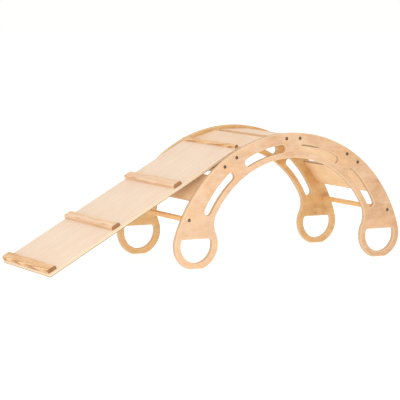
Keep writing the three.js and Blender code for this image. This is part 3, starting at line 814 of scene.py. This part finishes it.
lift = frame["joints"][0]["axis"]
slope = math.atan2(-lift[0], lift[2])
rampLow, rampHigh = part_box("ramp_board")
rampWidth = rampHigh.y - rampLow.y
rampThickness = board["thickness"]
rampLength = (rampHigh.z - rampThickness * math.cos(slope)) / math.sin(slope)
uphill = (math.cos(slope), 0, math.sin(slope))
square = (-math.sin(slope), 0, math.cos(slope))
rampFoot = np.array((rampLow.x + rampThickness * math.sin(slope), 0, 0))
cleatPlace = rampLength - cleat["width"] / 2
screwRow = [side * (rampWidth / 2 - ramp["screwSideInset"]) for side in (-1, 0, 1)]
battenRun = rampLength - topBatten["inset"] - topBatten["width"] - batten["inset"]
battenStep = battenRun / (batten["count"] - 1)


def battenSpecs():
    # From the lowest up: their downhill edges are evenly spaced, and their left ends are
    # flush with the ramp. The top one is slimmer and as long as the ramp is wide.
    specs = []
    for index in range(batten["count"]):
        spec = dict(batten, name=f"batten_{index + 1}", screws=f"batten_{index + 1}", start=0.0)
        if index == batten["count"] - 1:
            spec.update(topBatten, sideInset=0.0, screws="cleat", start=-cleat["depth"] - fit)
        spec["place"] = batten["inset"] + index * battenStep + spec["width"] / 2
        spec["screwPlace"] = spec["place"]
        specs.append(spec)
    specs[-1]["screwPlace"] = cleatPlace - cleat["screwShift"]
    return specs


def rampAxes(ahead, aside, above):
    # u runs uphill, v across and w square up from the ramp.
    corner = rampFoot + ahead * np.array(uphill) + above * np.array(square) + (0, aside, 0)
    return Axes(corner, uphill, (0, 1, 0), square)


def countersink():
    # From the mouth: the head's recess, its seat, and the bore for the shank.
    head, shank = ramp["screwHead"] / 2 + fit, ramp["screwShank"] / 2 + fit
    seat = ramp["screwSink"] + ramp["screwHeadHeight"]
    return [(head, 0), (head, seat - (head - shank) * 0.8), (shank, seat)]


def makeRampBoard():
    # A sheet with round corners and a row of three bores under each batten.
    path = roundedRectangle(rampLength, rampWidth, ramp["corner"]) + (rampLength / 2, 0)
    stacks = [sheetEdge(path, rampThickness, ramp["edge"])]
    shank = ramp["screwShank"] / 2 + fit
    for spec in battenSpecs():
        mouth = [(shank, 0)] if spec["start"] else countersink()
        bore = [*mouth, (shank, rampThickness)]
        stacks += [roundHole(spec["screwPlace"], y, bore, 24) for y in screwRow]
    plyPiece("ramp_board", stacks, rampThickness, rampAxes(0, 0, 0), "u", "rampPly", "ramp_ply", "ramp")


def battenRings(spec, length):
    # A rectangle at each height: its long sides slope inwards from the chamfer up, and its
    # corners and edges are slightly rounded.
    height, chamfer, ease = spec["height"], spec["chamfer"], spec["edge"]
    shoulder = height - chamfer
    levels = np.concatenate((
        (0, ease * 0.3, ease), np.linspace(ease * 2, shoulder - ease, 3),
        shoulder + ease * np.linspace(-0.5, 0.5, 3), (height - ease * 0.8, height - ease * 0.3, height),
    ))
    bottom = np.clip((ease - levels) / ease, 0, 1) ** 2 * ease * 0.4
    top = np.clip((levels - height + ease) / ease, 0, 1) ** 2 * ease * 0.6
    sideCut = np.maximum(levels - shoulder, 0) + bottom + top
    endCut = bottom + top
    path = roundedRectangle(spec["width"], length, ease)
    plan = path[None] - np.sign(path)[None] * np.stack((sideCut, endCut), axis=1)[:, None]
    depth = np.broadcast_to(levels[:, None, None], (*plan.shape[:2], 1))
    return np.concatenate((plan, depth), axis=2)


def makeBattens():
    # Chamfered bars with three blind bores from below.
    shank = ramp["screwShank"] / 2 + fit
    for spec in battenSpecs():
        deep = spec["screwBite"] + spec["pilotSpare"]
        pilot = ((shank, 0), (shank, deep - spec["pilotTip"]), (shank * 0.1, deep))
        ahead, aside = spec["screwPlace"] - spec["place"], spec["sideInset"] / 2
        stacks = [battenRings(spec, rampWidth - spec["sideInset"])]
        stacks += [roundHole(ahead, y - aside, pilot, 20) for y in screwRow]
        local, quads, triangles = shell(stacks, (0.0, spec["height"]))
        axes = rampAxes(spec["place"], aside, rampThickness + fit)
        finish = "battenPine" if spec["name"] in ("batten_1", "batten_4") else "palePine"
        makeSolid(spec["name"], local, quads, triangles, axes, 1, finish, "batten_wood", "ramp")


def makeCleat():
    # A bar as deep as the hook, with three bores right through and their seats below.
    path = roundedRectangle(cleat["width"], rampWidth - 2 * cleat["sideInset"], cleat["corner"])
    shank = ramp["screwShank"] / 2 + fit
    bore = [*countersink(), (shank, cleat["depth"])]
    stacks = [sheetEdge(path, cleat["depth"], cleat["edge"])]
    stacks += [roundHole(-cleat["screwShift"], y, bore, 24) for y in screwRow]
    local, quads, triangles = shell(stacks, (0.0, cleat["depth"]))
    axes = rampAxes(cleatPlace, 0, -fit - cleat["depth"])
    makeSolid("hook_cleat", local, quads, triangles, axes, 1, "battenPine", "batten_wood", "ramp")


makeRampBoard()
makeBattens()
makeCleat()
print("ramp made")


def threadRows(start, stop, core, crest, pitch, around, rise=4):
    # A screw thread: the radius swells once a turn along a helix, and fades in at both ends.
    count = max(4, round((stop - start) / pitch * rise))
    depth = np.linspace(start, stop, count + 1)[:, None]
    angle = np.arange(around)[None] * (2 * math.pi / around)
    swell = (0.5 + 0.5 * np.cos(2 * math.pi * depth / pitch - angle)) ** 2.5
    fade = np.clip((depth - start) / pitch, 0, 1) * np.clip((stop - depth) / (2 * pitch), 0, 1)
    return core + (crest - core) * swell * fade, np.broadcast_to(depth, swell.shape)


def lobed(radius, lobes, share, around):
    # A star-shaped ring: the radius rises and falls that many times in a turn.
    angle = np.arange(around) * (2 * math.pi / around)
    return radius * (1 - share + share * np.cos(lobes * angle))


def hexagonal(acrossFlats, around):
    # The distance to a hexagon's side in every direction.
    angle = np.arange(around) * (2 * math.pi / around)
    return acrossFlats / 2 / np.cos((angle + math.pi / 6) % (math.pi / 3) - math.pi / 6)


def turned(radii, depths):
    # Rings of the given radii, one row for each depth along the screw.
    around = radii.shape[1]
    angle = np.arange(around) * (2 * math.pi / around)
    return np.stack((radii * np.cos(angle), radii * np.sin(angle), depths), axis=-1)


def ringRows(steps, around):
    # Plain circles of the given (radius, depth) pairs.
    steps = np.asarray(steps, float)
    ones = np.ones((1, around))
    return steps[:, :1] * ones, steps[:, 1:] * ones


def screwPiece(name, stack, axes, finish, slot, body):
    # The first rings are the socket's: the painted highlight is strongest on its floor and weakest at
    # its mouth.
    local, quads, triangles = shell([stack], (-1.0,))
    rows = np.zeros(len(stack))
    rows[:4] = (1, 1, 0.6, 0.15)
    wear = np.repeat(rows, stack.shape[1])
    makePiece(name, axes.place(local), quads, triangles, finish, body, slot,
              wear=("FLOAT", "POINT", wear))


def screwStack(socketRadii, socketDepth, headSteps, thread, tip, around):
    # One surface from the socket's floor, up its walls, over the head and down the thread to the point.
    floor = np.full(around, socketDepth)
    socket = (np.stack((socketRadii * 0.12, socketRadii, socketRadii, socketRadii * 1.06)),
              np.stack((floor * 1.25, floor, floor * 0.12, floor * 0)))
    parts = [socket, ringRows(headSteps, around), thread, ringRows(tip, around)]
    radii = np.concatenate([part[0] for part in parts])
    depths = np.concatenate([part[1] for part in parts])
    return turned(radii, depths)


def makeFrameScrews():
    # Round heads with a hexagon socket.
    around = screw["sides"]
    head, height, bevel = screw["head"] / 2, screw["headHeight"], screw["bevel"]
    turn = np.linspace(0.25, 1, 6) * quarter
    drop = height * screw["dome"]
    dome = np.column_stack((head - drop * (1 - np.sin(turn)), drop * (1 - np.cos(turn))))
    dome[:, 1] -= dome[0, 1]
    flank = [(head, height - bevel), (head - bevel, height), (screw["neck"], height)]
    end = height + screw["length"]
    crest = screw["shank"] / 2 - 0.0001
    thread = threadRows(height + 0.001, end - screw["point"], screw["core"], crest,
                        screw["pitch"], around)
    tip = [(screw["core"] * 0.8, end - screw["point"] * 0.7), (0.0002, end)]
    stack = screwStack(hexagonal(screw["socket"], around), screw["socketDepth"],
                       [*dome, *flank, (screw["core"], height + 0.001)], thread, tip, around)
    for side, inwards in (("right", 1), ("left", -1)):
        for node in frameScrewNodes(side):
            spot = middleOf(node)
            top = inwards * (nearLow.y + screw["sink"])
            axes = Axes((spot.x, top, spot.z), (1, 0, 0), (0, 0, 1), (0, inwards, 0))
            screwPiece(node, stack, axes, "darkSteel", "dark_steel", "arch")


def makeRampScrews():
    # Countersunk heads with a six-lobe socket.
    around = ramp["screwSides"]
    head, height = ramp["screwHead"] / 2, ramp["screwHeadHeight"]
    shank = ramp["screwShank"] / 2
    socket = lobed(ramp["screwSocket"], 6, ramp["screwLobe"], around)
    headSteps = [(head - 0.0002, 0), (head, 0.0003), (head, height * 0.25),
                 (shank, height), (shank, height + 0.001)]
    for spec in battenSpecs():
        length = rampThickness + fit + spec["screwBite"] - spec["start"] - ramp["screwSink"]
        thread = threadRows(height + 0.002, length - 0.003, shank * ramp["screwCore"], shank,
                            ramp["screwPitch"], around)
        tip = [(shank * 0.5, length - 0.002), (0.0002, length)]
        stack = screwStack(socket, ramp["screwSocketDepth"], headSteps, thread, tip, around)
        for letter, y in zip("abc", screwRow):
            axes = rampAxes(spec["screwPlace"], y, spec["start"] + ramp["screwSink"])
            screwPiece(f"{spec['screws']}_screw_{letter}", stack, axes, "brightSteel",
                       "bright_steel", "ramp")


makeFrameScrews()
makeRampScrews()
print("screws made")


# The floor glows softly, so that nothing casts a dark shadow on it and the undersides stay bright.
# Energies are in watts.
studio = dict(world=1.01, worldTint=(1, 0.995, 0.985), floorColour=(0.42, 0.419, 0.416), haze=0.985,
              floorGlow=0.74, glowTint=(1, 0.997, 0.99), floorSize=60.0, floorLines=9, floorDrop=0.0002)
lamps = (dict(name="keyLight", energy=8, size=1.4, place=(-1.7, -1.9, 1.1), tint=(1.0, 0.98, 0.95)),
         dict(name="lowLight", energy=5, size=0.9, place=(-1.6, -1.6, 0.5), tint=(1.0, 0.97, 0.92)),
         dict(name="topLight", energy=5, size=2.4, place=(-2.2, -0.6, 2.6), tint=(1.0, 0.985, 0.97)))


def makeFloor(spec):
    # A flat square grid, lying just under the feet.
    side = np.linspace(-spec["floorSize"] / 2, spec["floorSize"] / 2, spec["floorLines"])
    x, y = np.meshgrid(side, side, indexing="ij")
    points = np.column_stack((x.ravel(), y.ravel(), np.full(x.size, -spec["floorDrop"])))
    number = np.arange(x.size).reshape(x.shape)
    quads = np.stack((number[:-1, :-1], number[1:, :-1], number[1:, 1:], number[:-1, 1:]), axis=-1)
    mesh = bpy.data.meshes.new("floor")
    fillMesh(mesh, points, quads.reshape(-1, 4), np.zeros((0, 3), int))
    g = Graph("paleFloor")
    place = g.add("ShaderNodeTexCoord", {}, {}, "Object")
    haze = g.noise(place, (1.5, 1.5, 1.5), 3, 0.5)
    dim = tuple(c * spec["haze"] for c in spec["floorColour"])
    colour = g.mix(haze, opaque(spec["floorColour"]), opaque(dim))
    g.shader.inputs["Emission Color"].default_value = opaque(spec["glowTint"])
    g.shader.inputs["Emission Strength"].default_value = spec["floorGlow"]
    mesh.materials.append(g.finish(colour, haze * 0.1 + 0.75))
    floor = bpy.data.objects.new("floor", mesh)
    bpy.context.scene.collection.objects.link(floor)


def lightScene():
    world = bpy.data.worlds.new("studio")
    bpy.context.scene.world = world
    world.use_nodes = True
    backdrop = world.node_tree.nodes["Background"]
    backdrop.inputs["Color"].default_value = opaque(studio["worldTint"])
    backdrop.inputs["Strength"].default_value = studio["world"]
    for spec in lamps:
        data = bpy.data.lights.new(spec["name"], "AREA")
        data.energy = spec["energy"]
        data.size = spec["size"]
        data.color = spec["tint"]
        lamp = bpy.data.objects.new(spec["name"], data)
        lamp.location = spec["place"]
        lamp.rotation_mode = "QUATERNION"
        lamp.rotation_quaternion = (-Vector(spec["place"])).to_track_quat("-Z", "Y")
        bpy.context.scene.collection.objects.link(lamp)
    bpy.context.scene.view_settings.view_transform = "Standard"


makeFloor(studio)
lightScene()
print("floor and lights made")
